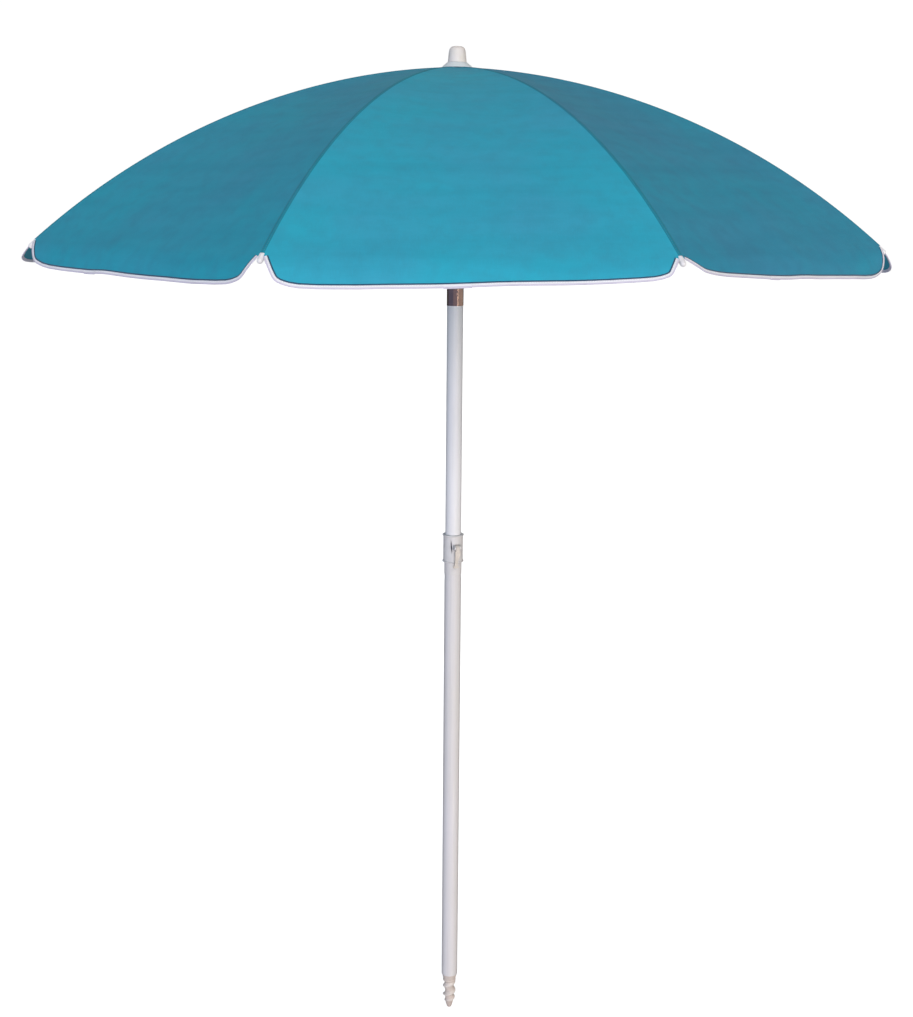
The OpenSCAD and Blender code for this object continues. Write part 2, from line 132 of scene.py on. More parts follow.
def make_light():
    # name, azimuth, elevation, strength, softness (degrees), colour
    sun("key", 268, 3, 1.72, 40, (0.975, 0.98, 1.0))
    sun("high", 284, 27, 0.44, 9, (1.0, 0.985, 0.96), glossy=True)
    sun("cool_fill", 212, 4, 0.46, 60, (0.50, 0.64, 1.0))
    sun("warm_fill", 316, 6, 0.48, 20, (1.0, 0.86, 0.74))
    sun("back_top", 90, 62, 0.30, 60, (1.0, 0.99, 0.98), glossy=True)
    sun("back_fill", 92, 6, 0.70, 60, (1.0, 1.0, 1.0))
    sun("floor_bounce", 90, -65, 0.40, 90, (1.0, 1.0, 1.0))
    # name, azimuth, width, radiance, colour
    card("strip", 304, 0.11, 20.0, (1.0, 0.93, 0.80))
    card("warm_card", 327, 2.8, 0.95, (1.0, 0.92, 0.80))
    card("warm_back_card", 12, 3.1, 0.95, (1.0, 0.92, 0.80))
    card("front_card", 271, 3.7, 0.60, (0.82, 0.78, 1.0))
    card("cool_card", 205, 5.5, 0.44, (0.38, 0.52, 1.0))
    world = bpy.data.worlds.new("studio")
    bpy.context.scene.world = world
    world.use_nodes = True
    back = world.node_tree.nodes["Background"]
    back.inputs["Color"].default_value = (0.985, 0.985, 1.0, 1)
    back.inputs["Strength"].default_value = 0.18
    view = bpy.context.scene.view_settings
    view.view_transform = "Standard"
    view.look = "None"


# ------------------------------------------------------------------ node helpers
class Nodes:
    """Short ways to add nodes to one material."""

    def __init__(self, name):
        self.mat = bpy.data.materials.new(name)
        self.mat.use_nodes = True
        self.tree = self.mat.node_tree
        self.shader = self.tree.nodes["Principled BSDF"]

    def add(self, kind, inputs=None, **settings):
        node = self.tree.nodes.new(kind)
        for key, value in settings.items():
            setattr(node, key, value)
        for key, value in (inputs or {}).items():
            self.feed(node.inputs[key], value)
        return node

    def feed(self, socket, value):
        if isinstance(value, bpy.types.NodeSocket):
            self.tree.links.new(value, socket)
        else:
            socket.default_value = value

    def place(self, source="Object", scale=(1, 1, 1)):
        """Texture coordinates from "Object" or "UV", scaled."""
        coord = self.add("ShaderNodeTexCoord")
        mapping = self.add(
            "ShaderNodeMapping", {"Vector": coord.outputs[source], "Scale": scale}
        )
        return mapping.outputs["Vector"]

    def uv(self):
        """The UV coordinates' own X and Y, as two sockets."""
        coord = self.add("ShaderNodeTexCoord")
        split = self.add("ShaderNodeSeparateXYZ", {"Vector": coord.outputs["UV"]})
        return split.outputs["X"], split.outputs["Y"]

    def noise(self, where, scale, detail=3.0, rough=0.55):
        node = self.add(
            "ShaderNodeTexNoise",
            {"Vector": where, "Scale": scale, "Detail": detail, "Roughness": rough},
        )
        return node.outputs["Fac"]

    def maths(self, operation, a, b=0.0):
        node = self.add("ShaderNodeMath", operation=operation)
        self.feed(node.inputs[0], a)
        self.feed(node.inputs[1], b)
        return node.outputs[0]

    def spread(self, value, low, high, to_low, to_high):
        """value from low..high to to_low..to_high, clamped."""
        node = self.add("ShaderNodeMapRange", {"Value": value})
        for key, number in zip(
            ("From Min", "From Max", "To Min", "To Max"), (low, high, to_low, to_high)
        ):
            node.inputs[key].default_value = number
        return node.outputs["Result"]

    def blend(self, factor, a, b):
        """Colours a and b mixed by factor. A mix node's colours are its inputs 6 and 7."""
        node = self.add("ShaderNodeMix", data_type="RGBA")
        for socket, value in ((0, factor), (6, a), (7, b)):
            self.feed(node.inputs[socket], (*value, 1) if isinstance(value, tuple) else value)
        return node.outputs[2]

    def bump(self, height, strength, distance, under=None):
        inputs = {"Height": height, "Strength": strength, "Distance": distance}
        if under is not None:
            inputs["Normal"] = under
        return self.add("ShaderNodeBump", inputs).outputs["Normal"]

    def set(self, **values):
        names = {
            "base": "Base Color",
            "rough": "Roughness",
            "metal": "Metallic",
            "normal": "Normal",
            "coat": "Coat Weight",
            "coat_rough": "Coat Roughness",
            "sheen": "Sheen Weight",
            "sheen_rough": "Sheen Roughness",
            "specular": "Specular IOR Level",
        }
        for key, value in values.items():
            socket = self.shader.inputs[names[key]]
            self.feed(socket, (*value, 1) if isinstance(value, tuple) else value)
        return self.mat


def shade(colour, by):
    """A colour times one number or times another colour."""
    return tuple(np.multiply(colour, by).tolist())


# ------------------------------------------------------------------ materials
CLOTH = (0.033, 0.438, 0.622)
# each gore's cloth has its own shade, partly a real difference between dye lots and partly painted
# light: gore 6 faces the front and is painted lighter, and gores 5 and 7 are painted duller against
# the cool and warm fills on their sides
GORE_TINT_AND_PAINTED_LIGHT = (
    (0.96, 0.96, 0.96),
    (0.98, 0.98, 0.98),
    (0.94, 0.94, 0.94),
    (0.97, 0.97, 0.97),
    (0.95, 0.95, 0.95),
    (0.90, 0.85, 0.86),
    (1.03, 1.03, 1.03),
    (1.05, 0.75, 0.81),
)
TAPE = (0.94, 0.95, 1.0)


def weave_height(n, pitch):
    """A plain weave's height from UVs in metres: warp and weft threads of that pitch."""
    waves = [n.maths("SINE", n.maths("MULTIPLY", axis, math.tau / pitch)) for axis in n.uv()]
    return n.maths("MULTIPLY", *waves)


def cloth_material(name, colour, pitch=0.0009):
    n = Nodes(name)
    weave = weave_height(n, pitch)
    clouds = n.noise(n.place(), 4.5, 3)
    bands = n.noise(n.place("UV", (3.2, 26, 1)), 1.0, 4)
    blotch = n.noise(n.place(), 42, 4)
    slub = n.noise(n.place("UV", (900, 60, 1)), 1.0, 2)
    pick = n.noise(n.place("UV", (50, 800, 1)), 1.0, 2)
    greener = (colour[0] * 0.9, colour[1] * 1.05, colour[2] * 0.99)
    duller = (colour[0] * 1.7, colour[1] * 0.90, colour[2] * 0.93)
    base = n.blend(n.spread(clouds, 0.32, 0.68, 0, 1), greener, duller)
    base = n.blend(n.spread(bands, 0.42, 0.7, 0, 0.42), base, shade(colour, 0.80))
    base = n.blend(n.spread(blotch, 0.42, 0.72, 0.0, 0.42), base, shade(duller, 0.80))
    base = n.blend(n.spread(slub, 0.5, 0.8, 0, 0.22), base, shade(colour, 1.22))
    base = n.blend(n.spread(pick, 0.5, 0.8, 0, 0.20), base, shade(colour, 0.72))
    # painted shade: the cloth is darkened where the weave is low, between the threads
    base = n.blend(n.spread(weave, -1, 1, 0.12, 0), base, shade(colour, 0.55))
    normal = n.bump(blotch, 0.10, 0.002)
    normal = n.bump(weave, 0.28, 0.00012, normal)
    rough = n.spread(clouds, 0.3, 0.7, 0.78, 0.9)
    return n.set(base=base, rough=rough, normal=normal, sheen=0.04, sheen_rough=0.5, specular=0.08)


def tape_material(name, colour):
    n = Nodes(name)
    weave = weave_height(n, 0.0008)
    rib = n.maths("SINE", n.maths("MULTIPLY", n.uv()[0], math.tau / 0.0016))
    dirt = n.noise(n.place(), 22, 4)
    base = n.blend(n.spread(dirt, 0.45, 0.75, 0, 0.3), colour, shade(colour, 0.82))
    # painted shade: the tape is darkened where the weave is low, between the threads
    base = n.blend(n.spread(weave, -1, 1, 0.14, 0), base, (0.55, 0.55, 0.62))
    normal = n.bump(n.maths("ADD", weave, rib), 0.35, 0.00012)
    return n.set(base=base, rough=0.8, normal=normal, sheen=0.15, specular=0.25)


def thread_material(name, colour):
    n = Nodes(name)
    twist = n.noise(n.place(), 2600, 1)
    base = n.blend(n.spread(twist, 0.35, 0.65, 0, 1), shade(colour, 0.8), shade(colour, 1.1))
    return n.set(base=base, rough=0.6, normal=n.bump(twist, 0.4, 0.0001), sheen=0.2)


def enamel_material(name, light, dark):
    """White satin enamel on steel tube: faint orange peel, rub marks along the tube."""
    n = Nodes(name)
    peel = n.noise(n.place(), 420, 2)
    rubs = n.noise(n.place("Object", (160, 160, 3.5)), 1.0, 4)
    haze = n.noise(n.place("Object", (1, 1, 0.25)), 14, 3)
    base = n.blend(n.spread(haze, 0.35, 0.7, 0, 1), light, dark)
    base = n.blend(n.spread(rubs, 0.62, 0.78, 0, 0.22), base, (0.60, 0.59, 0.58))
    rough = n.spread(rubs, 0.4, 0.75, 0.26, 0.42)
    return n.set(
        base=base, rough=rough, normal=n.bump(peel, 0.05, 0.0003), coat=0.3, coat_rough=0.12
    )


def plastic_material(name, light, dark, rough=0.34):
    """Moulded plastic: a fine moulding texture, slight cloudiness and worn, dusty patches."""
    n = Nodes(name)
    grain = n.noise(n.place(), 1500, 2)
    clouds = n.noise(n.place(), 60, 4)
    scuff = n.noise(n.place("Object", (600, 600, 90)), 1.0, 4)
    base = n.blend(n.spread(clouds, 0.35, 0.7, 0, 1), light, dark)
    base = n.blend(n.spread(scuff, 0.66, 0.8, 0, 0.35), base, shade(dark, 0.75))
    return n.set(
        base=base,
        rough=n.spread(clouds, 0.3, 0.7, rough, rough + 0.16),
        normal=n.bump(grain, 0.08, 0.0002),
        coat=0.12,
        coat_rough=0.2,
    )


def spike_material():
    """Cream plastic on the thread's crest, with painted shade as darker brown down in its groove."""
    n = Nodes("spike_plastic")
    crest, above_tip = n.uv()
    clouds = n.noise(n.place(), 110, 4)
    grain = n.noise(n.place(), 1500, 2)
    height = n.maths("ADD", crest, n.maths("MULTIPLY", clouds, 0.5))
    # painted shade: darker brown where the thread is low, down in its groove
    base = n.blend(n.spread(height, 0.20, 0.75, 0, 1), (0.63, 0.54, 0.49), (0.79, 0.71, 0.66))
    base = n.blend(n.spread(above_tip, 0.004, 0.03, 0.40, 0), base, (0.52, 0.39, 0.35))
    rough = n.spread(height, 0.2, 0.9, 0.55, 0.34)
    return n.set(base=base, rough=rough, normal=n.bump(grain, 0.1, 0.0002), coat=0.1, coat_rough=0.2)


def metal_material(name, light, dark, rough, along=(1, 1, 1), scratch=0.3):
    """Plated metal with fine drawn lines along one axis and duller blotches."""
    n = Nodes(name)
    lines = n.noise(n.place("Object", along), 1.0, 4)
    clouds = n.noise(n.place(), 90, 3)
    base = n.blend(n.spread(clouds, 0.3, 0.7, 0, 1), light, dark)
    base = n.blend(n.spread(lines, 0.5, 0.75, 0, scratch), base, shade(light, 1.25))
    return n.set(
        base=base,
        metal=1.0,
        rough=n.spread(clouds, 0.3, 0.7, rough, rough + 0.14),
        normal=n.bump(lines, 0.12, 0.0001),
    )


# ------------------------------------------------------------------ mesh helpers
def unit(v):
    return v / np.maximum(np.linalg.norm(v, axis=-1, keepdims=True), 1e-12)


def cells(rows, cols):
    """The row and column numbers of a grid's cells, in order."""
    i, j = np.meshgrid(np.arange(rows), np.arange(cols), indexing="ij")
    return i.ravel(), j.ravel()


def spun(radius, angle, height):
    """Points at that radius and height, turned by angle about the pole's axis."""
    return np.stack([radius * np.cos(angle), radius * np.sin(angle), height + 0 * angle], axis=-1)


class Shape:
    """Gathers points, faces, loop normals, UVs and material numbers, then makes one object."""

    def __init__(self):
        self.points, self.faces, self.normals, self.uvs, self.mats = [], [], [], [], []
        self.count = 0

    def add_points(self, points):
        first = self.count
        self.points.append(np.asarray(points, float).reshape(-1, 3))
        self.count += len(self.points[-1])
        return first

    def add_faces(self, faces, normals=None, uvs=None, mat=0):
        """faces is (n, 4); normals (n, 4, 3) and uvs (n, 4, 2) are per corner."""
        faces = np.asarray(faces, int).reshape(-1, 4)
        self.faces.append(faces)
        if normals is None:
            every = np.concatenate(self.points)
            a, b, c, d = (every[faces[:, i]] for i in range(4))
            normals = np.repeat(unit(np.cross(c - a, d - b))[:, None], 4, axis=1)
        self.normals.append(np.asarray(normals, float).reshape(-1, 4, 3))
        if uvs is None:
            uvs = np.zeros((len(faces), 4, 2))
        self.uvs.append(np.asarray(uvs, float).reshape(-1, 4, 2))
        self.mats.append(np.full(len(faces), mat))

    def grid(self, points, normals, uvs, flip=False, closed=False):
        """A surface from (rows, cols, 3) points; closed joins the last column to the first."""
        points, normals, uvs = map(np.asarray, (points, normals, uvs))
        rows, cols = points.shape[:2]
        first = self.add_points(points)
        i, j = cells(rows - 1, cols - (not closed))
        k = (j + 1) % cols
        corner = [(i, j), (i, k), (i + 1, k), (i + 1, j)]
        if flip:
            corner = corner[::-1]
        faces = np.stack([first + a * cols + b for a, b in corner], axis=1)
        self.add_faces(
            faces,
            np.stack([normals[a, b] for a, b in corner], axis=1),
            np.stack([uvs[a, b] for a, b in corner], axis=1),
        )

    def make(self, name, materials):
        points = np.concatenate(self.points)
        faces = np.concatenate(self.faces)
        mesh = bpy.data.meshes.new(name)
        mesh.from_pydata(points.tolist(), [], faces.tolist())
        mesh.polygons.foreach_set("use_smooth", np.ones(len(faces), bool))
        mesh.polygons.foreach_set("material_index", np.concatenate(self.mats).astype(np.int32))
        uv = mesh.uv_layers.new(name="metres")
        uv.data.foreach_set("uv", np.concatenate(self.uvs).astype(np.float32).ravel())
        mesh.normals_split_custom_set(unit(np.concatenate(self.normals)).reshape(-1, 3).tolist())
        for material in materials:
            mesh.materials.append(material)
        piece = bpy.data.objects.new(name, mesh)
        bpy.context.scene.collection.objects.link(piece)
        return piece


def run_length(points):
    """The length along a line of points, at each of them."""
    steps = np.linalg.norm(np.diff(points, axis=0), axis=1)
    return np.concatenate([[0], np.cumsum(steps)])


def grid_normals(points, closed=False):
    """Normals of a (rows, cols, 3) grid: rows run down the surface and columns round it."""
    down = np.gradient(points, axis=0)
    if closed:
        across = np.roll(points, -1, axis=1) - np.roll(points, 1, axis=1)
    else:
        across = np.gradient(points, axis=1)
    return unit(np.cross(across, down))


def lathe(name, profile, materials, steps=96):
    """A solid turned round the pole's axis from (radius, height) points in metres, top first."""
    profile = np.asarray(profile, float)
    angle = np.arange(steps) * math.tau / steps
    around = angle[None] * profile[:, 0].max()
    uvs = np.stack(np.broadcast_arrays(around, run_length(profile)[:, None]), axis=-1)
    step = np.gradient(profile, axis=0)
    flat = unit(np.stack([-step[:, 1], step[:, 0]], axis=-1))
    points, normals = (spun(pairs[:, :1], angle, pairs[:, 1:]) for pairs in (profile, flat))
    shape = Shape()
    shape.grid(points, normals, uvs, closed=True, flip=True)
    return shape.make(name, materials)


def smooth_line(points, per=6):
    """A Catmull-Rom curve through (n, d) points."""
    p = np.asarray(points, float)
    p = np.concatenate([[2 * p[0] - p[1]], p, [2 * p[-1] - p[-2]]])
    t = np.linspace(0, 1, per, endpoint=False)[:, None]
    out = []
    for a, b, c, d in zip(p, p[1:], p[2:], p[3:]):
        square, cube = 2 * a - 5 * b + 4 * c - d, 3 * b - a - 3 * c + d
        out.append(0.5 * (2 * b + (c - a) * t + square * t**2 + cube * t**3))
    return np.concatenate([*out, p[-2:-1]])


# ------------------------------------------------------------------ the canopy's surface
CLOTH_Z, CORNER_R, CORNER_Z, BOW = 1.855, 0.752, 1.5558, 1.235
CHORD = math.hypot(CORNER_R, CLOTH_Z - CORNER_Z)
HALF_TURN = math.asin(CHORD / 2 / BOW)
START_SLOPE = math.atan2(CLOTH_Z - CORNER_Z, CORNER_R) - HALF_TURN
END_SLOPE = START_SLOPE + 2 * HALF_TURN
ARC_X = -BOW * math.sin(START_SLOPE)
ARC_Z = CLOTH_Z - BOW * math.cos(START_SLOPE)
INNER_R = 0.0105
INNER_SLOPE = math.asin((INNER_R - ARC_X) / BOW)
BODY = BOW * (END_SLOPE - INNER_SLOPE)  # length of the cloth along a rib, inner rim to corner
CLOTH_T = 0.0006
HEM, HEM_END_SLOPE = 0.0485, math.radians(75)
HALF_GORE = CORNER_R * math.sin(HALF)
SAG = 0.009
# the hem is cut away round a rib's tip cap: half width and depth of that cut, and where it ends
CUT_HALF, CUT_DEEP, CUT_END = 0.0044, 0.0040, 0.0047
# the hem flap's length, in millimetres, at each distance along the rim from that cut
HEM_TABLE = (
    (0, 4.8, 9.2, 16.6, 22.0, 25.5, 30.5, 37.5, 47.0, 61.0, 89.0, 146.0, 290),
    (2.5, 9.0, 15.2, 25.5, 32.5, 35.6, 38.2, 40.6, 43.0, 45.0, 46.5, 48.0, 48.5),
)
HEM_WHERE = np.linspace(0, 0.290, 1161)  # every quarter of a millimetre
HEM_SMOOTH = np.hanning(23)[1:-1]
HEM_FULL = np.convolve(
    np.pad(np.interp(HEM_WHERE / MM, *HEM_TABLE) * MM, 10, mode="reflect", reflect_type="odd"),
    HEM_SMOOTH / HEM_SMOOTH.sum(),
    mode="valid",
)
# how much longer each gore's hem hangs at its first and at its second rib
HEM_SLACK = (
    (0.011, -0.002),
    (-0.002, 0.002),
    (0.002, 0.001),
    (0.0, -0.002),
    (-0.001, 0.002),
    (0.001, 0.0040),
    (0.0075, -0.0095),
    (-0.0150, 0.0120),
)
# by gore and side (-1 for its first rib, 1 for its second): how wide the notch is there, where
# it isn't 1, and how many degrees less the hem bends down there
NOTCH_WIDTH = {(5, -1): 1.3, (5, 1): 0.85, (6, -1): 0.9, (6, 1): 0.70, (7, -1): 1.45}
FLARE = {(4, 1): 31, (5, -1): -14, (7, 1): -32, (0, -1): 18}
FLARE_START = 0.2  # how far across, from the gore's middle, a flare begins
# soft creases that run down the cloth near the hem: gore, place across it, height, width. They
# begin at CREASE_START of the way down and rise over the next CREASE_RISE.
CREASES = (
    (5, -0.18, 0.0016, 0.10),
    (5, 0.33, 0.0008, 0.11),
    (7, 0.02, 0.0015, 0.10),
    (7, 0.52, 0.0009, 0.11),
    (0, 0.25, 0.0012, 0.10),
    (1, -0.4, 0.0012, 0.10),
    (3, 0.1, 0.0014, 0.10),
    (6, 0.62, 0.0006, 0.12),
)
CREASE_START, CREASE_RISE = 0.72, 0.25

rng = np.random.default_rng(7)
# slow waves in each gore's slack: waves across, phase, waves down, phase
WAVES = rng.uniform((0.8, 0, 0.5, 0), (3.2, math.tau, 3.0, math.tau), (RIBS, 9, 4))
# slow waves in the hem's length: waves across, phase, size
HEM_WAVES = rng.uniform((0.6, 0, 0.2), (2.6, math.tau, 1.0), (RIBS, 5, 3))
WAVE_SIZE, HEM_WAVE_SIZE = 0.00042, 0.0004  # metres


def hem_length(g, s):
    """How far past the corner's arc gore g's cloth reaches at s across the gore."""
    d = HALF_GORE * (1 - np.abs(s))
    widths = [NOTCH_WIDTH.get((g % RIBS, side), 1) for side in (-1, 1)]
    past = np.maximum(0, d - CUT_END) / np.where(s < 0, *widths)
    first, second = HEM_SLACK[g % RIBS]
    slack = (first * (1 - s) + second * (1 + s)) / 2
    wave = sum(
        size * np.sin(waves * math.pi * s + phase) for waves, phase, size in HEM_WAVES[g % RIBS]
    )
    slack = slack + HEM_WAVE_SIZE * wave * (1 - s**2)
    length = np.interp(past, HEM_WHERE, HEM_FULL) * (1 + slack / HEM)
    return np.where(d < CUT_HALF, -CUT_DEEP, length)


def slack_height(g, along, s):
    """Height of gore g's slack over its ruled surface: nothing at the ribs."""
    total = np.zeros(np.broadcast(along, s).shape)
    for across, phase, down, other in WAVES[g % RIBS]:
        total = total + np.sin(across * math.pi * s + phase + 1.5 * along) * np.sin(
            down * math.pi * along + other
        )
    total = WAVE_SIZE * total * np.clip(along, 0, 1) ** 1.2
    for gore, place, height, width in CREASES:
        if gore == g % RIBS:
            run = np.clip((along - CREASE_START) / CREASE_RISE, 0, 1)
            total = total + height * run**2 * np.exp(-(((s - place) / width) ** 2))
    return (1 - s**2) * (total - SAG * np.sin(math.pi * np.clip(along, 0, 1)))


def surface(g, a, s):
    """Points of gore g's outer face: a is the length down from the inner rim, and s goes across,
    from -1 at the gore's first rib to 1 at its second."""
    a, s = np.broadcast_arrays(np.asarray(a, float), np.asarray(s, float))
    slope = INNER_SLOPE + np.minimum(a, BODY) / BOW
    flare = 0
    for side in (-1, 1):
        share = np.clip((side * s - FLARE_START) / (1 - FLARE_START), 0, 1)
        flare = flare + math.radians(FLARE.get((g % RIBS, side), 0)) * share**2
    curl = (HEM_END_SLOPE - flare - END_SLOPE) / HEM
    bent = END_SLOPE + curl * np.maximum(0, a - BODY)
    radius = ARC_X + BOW * np.sin(slope) + (np.sin(bent) - math.sin(END_SLOPE)) / curl
    height = ARC_Z + BOW * np.cos(slope) + (np.cos(bent) - math.cos(END_SLOPE)) / curl
    lift = slack_height(g, a / BODY, s)
    x = radius * math.cos(HALF) + np.sin(slope) * lift
    y = radius * math.sin(HALF) * s
    z = height + np.cos(slope) * lift
    turn = STEP * g
    c, d = math.cos(turn), math.sin(turn)
    return np.stack([x * c - y * d, x * d + y * c, z], -1)


def surface_normal(g, a, s):
    """Outward normal of gore g's face, from close neighbours within the gore."""
    e = 1e-4
    s = np.clip(s, -1 + e, 1 - e)
    down = surface(g, a + e, s) - surface(g, a - e, s)
    across = surface(g, a, s + e) - surface(g, a, s - e)
    return unit(np.cross(unit(down), unit(across)))


TAIL = BODY - 0.018
BODY_ROWS, TAIL_ROWS = 60, 22
# the cloth's parts from the crown down: name, first and last row, and how much of its width is
# left when the canopy is folded, so that each part just meets its neighbours there
PARTS = (
    ("top", 0, 6, 0.85),
    ("upper", 6, 12, 0.61),
    ("middle", 12, 24, 0.41),
    ("skirt", 24, BODY_ROWS + TAIL_ROWS, 0.25),
)
COLUMN_MM = (
    [0, 1.5, 3, 4.1, 4.35, 4.75, 5.2, 5.9, 6.8, 8, 9.4, 11, 12.8, 14.8, 17, 19.5, 22.3, 25.5]
    + [29.3, 34, 39.5, 46, 54, 64, 76, 90, 106, 124, 144, 166, 190, 215, 240, 264]
)
COLUMN_S = np.array([*(1 - np.array(COLUMN_MM) * MM / HALF_GORE), 0.0])  # from a rib to mid gore


def gore_half(g, side):
    """(points, normals, uvs) of half of gore g. side 1 is its half next to its second rib, with
    columns from the middle to the rib, and side -1 next to its first, from the rib to the middle."""
    s = COLUMN_S[::-1] if side > 0 else -COLUMN_S
    body = np.linspace(0, TAIL, BODY_ROWS + 1)[:, None] + 0 * s
    share = np.arange(1, TAIL_ROWS + 1)[:, None] / TAIL_ROWS
    a = np.concatenate([body, TAIL + share * (BODY + hem_length(g, s) - TAIL)])
    s = s[None] + 0 * a
    radius = ARC_X + BOW * np.sin(INNER_SLOPE + a / BOW)
    uvs = np.stack([radius * math.sin(HALF) * s, a], axis=-1)
    return surface(g, a, s), surface_normal(g, a, s), uvs


def rim_loop(rows, cols):
    """The outline of a (rows, cols) grid, as indices in order."""
    return np.concatenate(
        [
            np.arange(cols),
            np.arange(1, rows) * cols + cols - 1,
            (rows - 1) * cols + np.arange(cols - 2, -1, -1),
            np.arange(rows - 2, 0, -1) * cols,
        ]
    )


def close_rim(shape, rows, cols, flip=False):
    """Joins the rims of two (rows, cols) grids, the first ones that were added to the shape."""
    loop = rim_loop(rows, cols)
    after, low = np.roll(loop, -1), rows * cols
    corner = [loop, after, low + after, low + loop]
    if flip:
        corner = corner[:1] + corner[:0:-1]
    shape.add_faces(np.stack(corner, axis=1))


def canopy_pieces(k, materials):
    """The cloth round rib k: the second half of gore k - 1 and the first half of gore k, as one
    piece for each of PARTS. Materials are the faces of those two gores, then their backs."""
    (lp, ln, lu), (rp, rn, ru) = gore_half(k - 1, 1), gore_half(k, -1)
    mid = lp.shape[1] - 1
    mean = np.concatenate([ln, rn[:, 1:]], axis=1)
    mean[:, mid] = unit(ln[:, -1] + rn[:, 0])
    every = np.concatenate([lp, rp[:, 1:]], axis=1)
    pieces = []
    for part, low, high, _ in PARTS:
        band = slice(low, high + 1)
        points, cols = every[band], every.shape[1]
        rows = len(points)
        shape = Shape()
        first_out = shape.add_points(points)
        first_in = shape.add_points(points - CLOTH_T * mean[band])
        i, j = cells(rows - 1, mid)
        for first, sign in ((first_out, 1), (first_in, -1)):
            for half, (left, normals, uvs) in enumerate(((0, ln, lu), (mid, rn, ru))):
                corner = [(i, j), (i + 1, j), (i + 1, j + 1), (i, j + 1)][::sign]
                shape.add_faces(
                    np.stack([first + a * cols + left + b for a, b in corner], axis=1),
                    np.stack([sign * normals[band][a, b] for a, b in corner], axis=1),
                    np.stack([uvs[band][a, b] for a, b in corner], axis=1),
                    half if sign > 0 else half + 2,
                )
        close_rim(shape, rows, cols)
        pieces.append(shape.make(f"canopy_{part}_{k}", materials))
    return pieces


# ------------------------------------------------------------------ trim on the cloth
STITCH_QUADS = [(1, 4, 5, 2), (2, 5, 6, 3), (0, 1, 2, 3), (4, 7, 6, 5), (0, 7, 4, 1), (0, 3, 6, 7)]


def stitch(shape, start, end, normal, width, height, mat):
    """One thread loop from start to end lying on a face with that normal: a low, tapered bar."""
    along = unit(end - start)
    side = unit(np.cross(normal, along)) * width / 2
    up = normal * height
    points = [start - up * 0.4]
    for middle in (start + (end - start) * 0.25, start + (end - start) * 0.75):
        points += [middle - side, middle + up, middle + side]
    points.append(end - up * 0.4)
    first = shape.add_points(points)
    shape.add_faces([[first + i for i in quad] for quad in STITCH_QUADS], mat=mat)


def stitch_row(shape, line, normals, pitch, length, width, height, mat):
    """Stitches at even spacing along a line of points."""
    where = run_length(line)
    starts = np.arange(pitch / 2, where[-1] - length, pitch)

    def at(values, t):
        return np.stack([np.interp(t, where, values[:, i]) for i in range(3)], axis=-1)

    for a, b, n in zip(at(line, starts), at(line, starts + length), unit(at(normals, starts))):
        stitch(shape, a, b, n, width, height, mat)


SMOOTH_BEND = math.cos(math.radians(35))  # a section's corners that bend less are shaded smooth


def section_sweep(shape, centre, out, up, section, mats):
    """Sweeps a closed section of (out, up) pairs along centre, with a material number for each
    of its sides, and caps both ends."""
    section = np.asarray(section, float)
    points = centre[:, None] + out[:, None] * section[:, :1] + up[:, None] * section[:, 1:]
    rows, cols = points.shape[:2]
    first = shape.add_points(points)
    i, j = cells(rows - 1, cols)
    k = (j + 1) % cols
    corner = ((i, j), (i, k), (i + 1, k), (i + 1, j))
    faces = np.stack([first + a * cols + b for a, b in corner], axis=1)
    # each side has its own normals, averaged where the section bends little
    side = np.roll(section, -1, axis=0) - section
    flat = unit(np.stack([-side[:, 1], side[:, 0]], axis=-1))
    before, after = np.roll(flat, 1, axis=0), np.roll(flat, -1, axis=0)
    smooth = (flat * before).sum(-1, keepdims=True) > SMOOTH_BEND
    start = np.where(smooth, unit(flat + before), flat)
    end = np.where(np.roll(smooth, -1, axis=0), unit(flat + after), flat)

    def world(n, row):
        return out[row] * n[j, :1] + up[row] * n[j, 1:]

    below = i + 1
    normals = np.stack([world(start, i), world(end, i), world(end, below), world(start, below)], 1)
    around, along = run_length(np.concatenate([section, section[:1]])), run_length(centre)
    place = ((j, i), (j + 1, i), (j + 1, below), (j, below))
    uvs = np.stack([np.stack([around[a], along[b]], axis=-1) for a, b in place], axis=1)
    order = 1 if np.cross(out[0], up[0]) @ (centre[1] - centre[0]) > 0 else -1
    if order > 0:
        faces, normals, uvs = faces[:, ::-1], normals[:, ::-1], uvs[:, ::-1]
    for mat in set(mats):
        pick = np.array(mats)[j] == mat
        shape.add_faces(faces[pick], normals[pick], uvs[pick], mat)
    for row, turn in ((0, order), (rows - 1, -order)):
        ring = first + row * cols + np.arange(cols)
        caps = [
            [ring[a], ring[a + 1], ring[cols - 2 - a], ring[cols - 1 - a]][::turn]
            for a in range(cols // 2 - 1)
        ]
        shape.add_faces(caps, mat=mats[0])


SEAM_HALF = 0.0036
SEAM_UNDER = 0.0007  # how far the seam's band reaches down into the cloth
SEAM_FIRST = 0.020  # the seam's bare end at the crown, under the finial's flange
SEAM_STITCH = {"pitch": 0.0042, "length": 0.0029, "width": 0.0006, "height": 0.00035}


